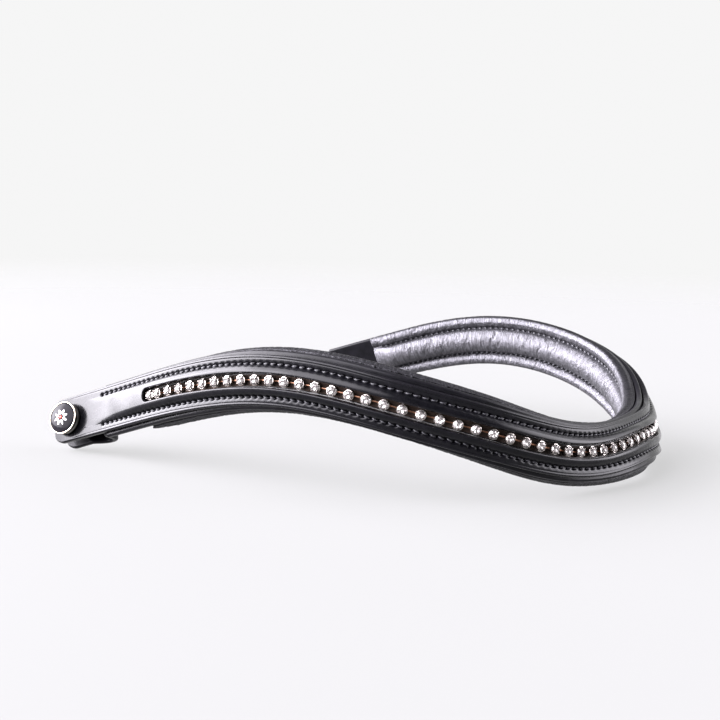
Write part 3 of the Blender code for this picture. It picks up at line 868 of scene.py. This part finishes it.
def make_lining():
    """The puffy skin over the three channels, with the seams' stitches lying in its valleys."""
    outline = skin_outline(61)
    s = -SEAM_END + STITCH / 4 * np.arange(4 * STITCHES + 1)
    s = s[np.abs(s) < PAD_END - 0.05]
    s = np.concatenate(([-PAD_END], s, [PAD_END]))
    flat = inflate(s, outline)
    flat = finer(finer(flat, 0), 1)
    sa, va = flat[..., 0], flat[..., 1]
    puffed = smooth_step(-flat[..., 2], 2.2, 4.0)
    ripple = np.zeros(sa.shape)
    for k, (size, amount) in enumerate(WRINKLES):
        ripple += amount * wander(sa, va * 0.16, size, 40 + k, across=1.0)
    flat[..., 2] -= ripple * (0.35 + 0.65 * puffed)
    grid_s = np.clip(flat[..., 0], -PAD_END, PAD_END)
    flat[..., 2] *= pad_depth(grid_s)
    flat[..., 0] = grid_s
    under = flat[:, ::-1].copy()[:, 1:-1:6]
    under[..., 2] = -0.10
    under[..., 1] = np.clip(under[..., 1], -8.6, 8.6)
    rings = np.concatenate((flat, under), axis=1)
    # painted shade: the edge field marks the lining's sides next to the strap and its underside,
    # which its material paints near black
    edge = smooth_step(np.abs(rings[..., 1]), 7.9, 8.7) * smooth_step(rings[..., 2], -4.4, -2.9)
    edge = np.maximum(edge, smooth_step(rings[..., 2], -1.2, -0.6))
    item = laid("pewter_lining", rings, pewter, fields={"edge": edge.ravel()}, sharp=75)
    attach(item, "band")
    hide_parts("pad_lining", "pad_core_upper", "pad_core_middle", "pad_core_lower")
    heights = {}
    for sign in (1, -1):
        column = int(np.argmin(np.abs(flat[len(flat) // 2, :, 1] - sign * SEAM_V)
                               + (np.abs(flat[len(flat) // 2, :, 2]) > 3.6) * 9))
        heights[sign] = (flat[:, column, 0], flat[:, column, 2])
    for word, sign in (("upper", 1), ("lower", -1)):
        xs, ws = heights[sign]
        order = np.argsort(xs)
        xs, ws = xs[order], ws[order]
        places = [(-SEAM_END + (k + 0.5) * STITCH, sign * SEAM_V, sign) for k in range(STITCHES)]
        places = [p for p in places if abs(p[0]) < 171.0]
        item = capsules(f"lining_stitches_{word}", places, thread_mat, 0.66, 0.31, 0.5,
                        lambda a, v, xs=xs, ws=ws: float(np.interp(a, xs, ws)) - 0.46, -0.3)
        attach(item, "band")
        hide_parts(f"lining_thread_{word}")


# ---- press studs ---------------------------------------------------------------------------------
CAP = ((0, 2.4), (1.2, 2.4), (1.2, 4.5), (4.5, 4.5), (4.85, 4.62), (5.0, 4.85), (5.04, 5.15),
       (5.0, 5.42), (4.86, 5.56), (4.82, 5.7), (4.9, 5.85), (5.12, 6.05), (5.22, 6.3), (5.24, 6.6),
       (5.0, 6.66), (4.0, 6.25), (0, 6.25))
CAP_BEZEL = ((4.80, 6.62), (5.1, 6.6), (5.26, 6.7), (5.3, 6.86), (5.24, 7.04), (5.10, 7.15),
             (4.95, 7.16), (4.84, 7.08), (4.80, 6.94))
CAP_DISC = ((0, 6.3), (4.78, 6.3), (4.78, 6.94), (4.6, 7.10), (4.1, 7.30), (3.4, 7.50), (2.5, 7.67),
            (1.6, 7.80), (0.8, 7.87), (0, 7.9))
SOCKET = ((1.75, 2.3), (1.75, 0.5), (1.95, 0.4), (3.5, 0.4), (3.8, 0.55), (4.1, 0.9), (4.1, 2.3))
STUD = ((0, -1.15), (4.0, -1.15), (4.05, -0.95), (3.9, -0.75), (1.9, -0.62), (1.6, -0.52),
        (1.45, -0.3), (1.45, 0.9), (1.5, 1.1), (1.58, 1.5), (1.45, 1.8), (1.2, 1.95), (0, 1.97))
EYELET = ((0, -1.3), (1.2, -1.3), (1.2, -3.45), (3.5, -3.45), (3.65, -3.6), (3.6, -3.85),
          (3.3, -4.05), (2.0, -4.2), (1.2, -4.22), (0.9, -4.1), (0.7, -3.8), (0, -3.75))
TURNS = 72


def turned(name, profile, side, mat, body, node, **options):
    """Round part about the stud axis; profile is (radius, w)."""
    profile = np.array(profile, float)
    a = np.arange(TURNS) * 2 * math.pi / TURNS
    points = np.stack((profile[None, :, 0] * np.cos(a)[:, None],
                       profile[None, :, 0] * np.sin(a)[:, None],
                       np.broadcast_to(profile[:, 1], (TURNS, len(profile)))), -1)
    m = len(profile)
    faces = []
    last = m if profile[0][0] > 0 else m - 1
    for k in range(TURNS):
        j = (k + 1) % TURNS
        for i in range(last):
            q = (i + 1) % m
            faces.append([k * m + i, k * m + q, j * m + q, j * m + i])
    item = new_piece(name, set_down(points.reshape(-1, 3), side * STUD_S), faces, mat,
                     merge=2e-6, **options)
    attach(item, body)
    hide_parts(node)
    return item


def dome_height(r):
    return np.interp(r, [p[0] for p in CAP_DISC[:1:-1]], [p[1] for p in CAP_DISC[:1:-1]])


def inlay(outline, lift=0.05):
    """Thin raised patch on the dome from rows of (x, y) points."""
    rows = np.asarray(outline, float)
    n, m = rows.shape[:2]
    reach = dome_height(np.hypot(rows[..., 0], rows[..., 1]))
    top = np.concatenate((rows, (reach + lift)[..., None]), -1)
    low = np.concatenate((rows, (reach - 0.05)[..., None]), -1)
    points = np.concatenate((top, low[:, ::-1]), axis=1)
    faces = [list(f) for f in grid_faces(n, 2 * m, closed=True)]
    faces += [list(range(2 * m)), [2 * m * (n - 1) + k for k in range(2 * m)]]
    return points.reshape(-1, 3), faces


def make_rosette(side, word):
    """A fine ring of narrow petals inlaid in the dome."""
    points, faces = [], []
    petals, start = 8, 0
    for q in range(petals):
        turn = q * 2 * math.pi / petals + 0.2
        out = np.array((math.cos(turn), math.sin(turn)))
        across = np.array((-math.sin(turn), math.cos(turn)))
        rows = []
        for t in np.linspace(0, 1, 8):
            half = 0.05 + 0.40 * math.sin(math.pi * t ** 0.8)
            rows.append([out * (0.95 + 1.65 * t) + across * half * x for x in (-1, -0.4, 0.4, 1)])
        part, quads = inlay(rows)
        points.append(part)
        faces += [[i + start for i in f] for f in quads]
        start += len(part)
    item = new_piece(f"{word}_cap_rosette", set_down(np.concatenate(points), side * STUD_S), faces,
                     inlay_mat)
    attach(item, "band")
    rows = []
    for x in np.linspace(-0.49, 0.49, 9):
        reach = math.sqrt(max(0.25 - x * x, 0.0004))
        rows.append([(x, -reach), (x, 0), (x, reach)])
    part, quads = inlay(rows, 0.08)
    item = new_piece(f"{word}_cap_centre", set_down(part, side * STUD_S), quads, red_mat)
    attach(item, "band")


def make_studs(side, word):
    loop = f"{word}_loop"
    turned(f"{word}_cap_body", CAP, side, cap_mat, "band", f"{word}_snap_cap", sharp=50)
    turned(f"{word}_cap_rim", CAP_BEZEL, side, bezel_mat, "band", f"{word}_cap_bezel")
    turned(f"{word}_cap_dome", CAP_DISC, side, disc_mat, "band", f"{word}_cap_disc", sharp=50)
    turned(f"{word}_socket_ring", SOCKET, side, steel_mat, "band", f"{word}_snap_socket", sharp=40)
    turned(f"{word}_stud_post", STUD, side, steel_mat, loop, f"{word}_snap_stud", sharp=40)
    turned(f"{word}_eyelet_ring", EYELET, side, steel_mat, loop, f"{word}_snap_eyelet", sharp=40)
    make_rosette(side, word)


def finish_cad_nodes():
    for node, mat in (("crown_filler_upper", felt_mat), ("crown_filler_lower", felt_mat),
                      ("chain_bed", bed_mat)):
        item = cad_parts[node]
        if not item.material_slots:
            item.data.materials.append(mat)
        for spot in item.material_slots:
            spot.material = mat


# ---- floor, light and camera ---------------------------------------------------------------------
CAMERA_AT = Vector((-0.348642, -0.188092, 0.077443))
CAMERA_RIGHT = Vector((0.50628223, -0.86203177, 0.02407341))
CAMERA_UP = Vector((0.09300074, 0.08233062, 0.99225628))
LENS = 59.3375
PALE = 0.92
FLOOR_GLOW = 0.530
FADE_FROM, FADE_TO = 0.45, 1.6   # metres from the middle between which the floor thins out
OVERHEAD = 0.15
DARK_SIDE = (-0.86, -0.50, 0.16)
WINDOW_TINT = (0.955, 0.925, 1.0)
# a window's direction, the cosines between which its edge softens, and its strength
WINDOWS = (((-0.75, 0.50, 0.48), 0.66, 0.94, 18.0), ((-0.58, 0.80, 0.15), 0.88, 0.985, 27.0),
           ((-0.12, 0.90, 0.42), 0.88, 0.97, 24.0), ((0.40, -0.94, 0.30), 0.86, 0.98, 13.0),
           ((0.60, -0.62, 0.50), 0.82, 0.97, 3.4))


def make_floor():
    mesh = bpy.data.meshes.new("floor")
    bm = bmesh.new()
    bmesh.ops.create_circle(bm, cap_ends=True, radius=3.0, segments=96)
    bm.to_mesh(mesh)
    bm.free()
    mat, n, shader = new_material("pale_floor", Roughness=0.85, Specular_IOR_Level=0.1)
    where = n.new("ShaderNodeTexCoord").outputs["Object"]
    n.link(n.blend(n.spots(where, 6.0, 2), (0.057, 0.057, 0.057), (0.060, 0.060, 0.060)).outputs[0],
           shader.inputs["Base Color"])
    # most of its paleness is even, so the lights that shape the leather can stay low
    shader.inputs["Emission Color"].default_value = (1, 1, 1, 1)
    shader.inputs["Emission Strength"].default_value = FLOOR_GLOW
    # the floor thins out to the equally pale surroundings
    length = n.new("ShaderNodeVectorMath", operation="LENGTH")
    n.link(where, length.inputs[0])
    fade = n.spread(length.outputs["Value"], FADE_FROM, FADE_TO, 1.0, 0.0, "SMOOTHSTEP")
    n.link(fade, shader.inputs["Alpha"])
    mesh.materials.append(mat)
    floor = bpy.data.objects.new("floor", mesh)
    bpy.context.scene.collection.objects.link(floor)
    floor.location = (0, 0, -0.0003)


def make_world():
    """Pale surroundings, dim overhead and behind the camera, with soft windows."""
    world = bpy.data.worlds.new("studio")
    bpy.context.scene.world = world
    world.use_nodes = True
    n = Nodes(world.node_tree)
    back = world.node_tree.nodes["Background"]
    where = n.new("ShaderNodeTexCoord").outputs["Generated"]

    def step(value, low, high, out_low, out_high):
        return n.spread(value, low, high, out_low, out_high, "SMOOTHSTEP")

    def cone(towards, low, high, out_low, out_high):
        dot = n.new("ShaderNodeVectorMath", operation="DOT_PRODUCT")
        dot.inputs[1].default_value = Vector(towards).normalized()
        n.link(where, dot.inputs[0])
        return step(dot.outputs["Value"], low, high, out_low, out_high)

    split = n.new("ShaderNodeSeparateXYZ")
    n.link(where, split.inputs[0])
    height = split.outputs["Z"]
    sky = step(height, 0.26, 0.60, PALE, OVERHEAD)
    room = cone(DARK_SIDE, 0.45, 0.85, 1.0, 0.06)
    above = step(height, -0.02, 0.02, 0.0, 1.0)
    kept = n.maths("SUBTRACT", 1.0, n.maths("MULTIPLY", n.maths("SUBTRACT", 1.0, room), above))
    # the windows and the dim parts light the object; seen directly, the room is evenly pale
    seen = n.new("ShaderNodeLightPath").outputs["Is Camera Ray"]
    unseen = n.maths("SUBTRACT", 1.0, seen)
    dimmed = n.maths("MULTIPLY", n.maths("MULTIPLY", sky, kept), unseen)
    n.link(n.maths("ADD", dimmed, n.maths("MULTIPLY", seen, PALE)), back.inputs["Strength"])
    back.inputs["Color"].default_value = (1, 1, 1, 1)
    windows = n.new("ShaderNodeBackground")
    windows.inputs["Color"].default_value = (*WINDOW_TINT, 1)
    lit = None
    for towards, low, high, strength in WINDOWS:
        window = cone(towards, low, high, 0.0, strength)
        lit = n.maths("ADD", lit, window) if lit else window
    n.link(n.maths("MULTIPLY", n.maths("MULTIPLY", lit, above), unseen), windows.inputs["Strength"])
    both = n.new("ShaderNodeAddShader")
    n.link(back.outputs[0], both.inputs[0])
    n.link(windows.outputs[0], both.inputs[1])
    n.link(both.outputs[0], world.node_tree.nodes["World Output"].inputs["Surface"])


def area_light(name, towards, distance, size, power, colour=(1, 1, 1), aim=(0, 0, 0.015)):
    light = bpy.data.lights.new(name, "AREA")
    light.shape = "RECTANGLE"
    light.size, light.size_y = size
    light.energy = power
    light.color = colour
    item = bpy.data.objects.new(name, light)
    bpy.context.scene.collection.objects.link(item)
    target = Vector(aim)
    item.location = target + Vector(towards).normalized() * distance
    item.rotation_mode = "QUATERNION"
    item.rotation_quaternion = (target - item.location).to_track_quat("-Z", "Y")
    return item


def make_lights():
    area_light("left_softbox", (-0.75, 0.66, 0.45), 0.9, (0.6, 0.5), 1.2, (0.93, 0.92, 1.0))
    area_light("top_softbox", (0.1, -0.1, 1.0), 0.9, (0.9, 0.9), 1.0)


def make_camera():
    data = bpy.data.cameras.new("camera")
    data.lens = LENS
    data.sensor_width = 36.0
    data.clip_start, data.clip_end = 0.01, 20.0
    camera = bpy.data.objects.new("camera", data)
    bpy.context.scene.collection.objects.link(camera)
    backward = CAMERA_RIGHT.cross(CAMERA_UP).normalized()
    up = backward.cross(CAMERA_RIGHT).normalized()
    turn = Matrix((CAMERA_RIGHT.normalized(), up, backward)).transposed()
    camera.matrix_world = Matrix.Translation(CAMERA_AT) @ turn.to_4x4()
    bpy.context.scene.camera = camera
    bpy.context.scene.view_settings.view_transform = "Standard"


make_camera()
make_floor()
make_world()
make_lights()
make_front()
make_front_stitches()
make_base()
make_chain()
make_lining()
for side, word in ((-1, "left"), (1, "right")):
    make_tongue(side, word)
    make_studs(side, word)
finish_cad_nodes()
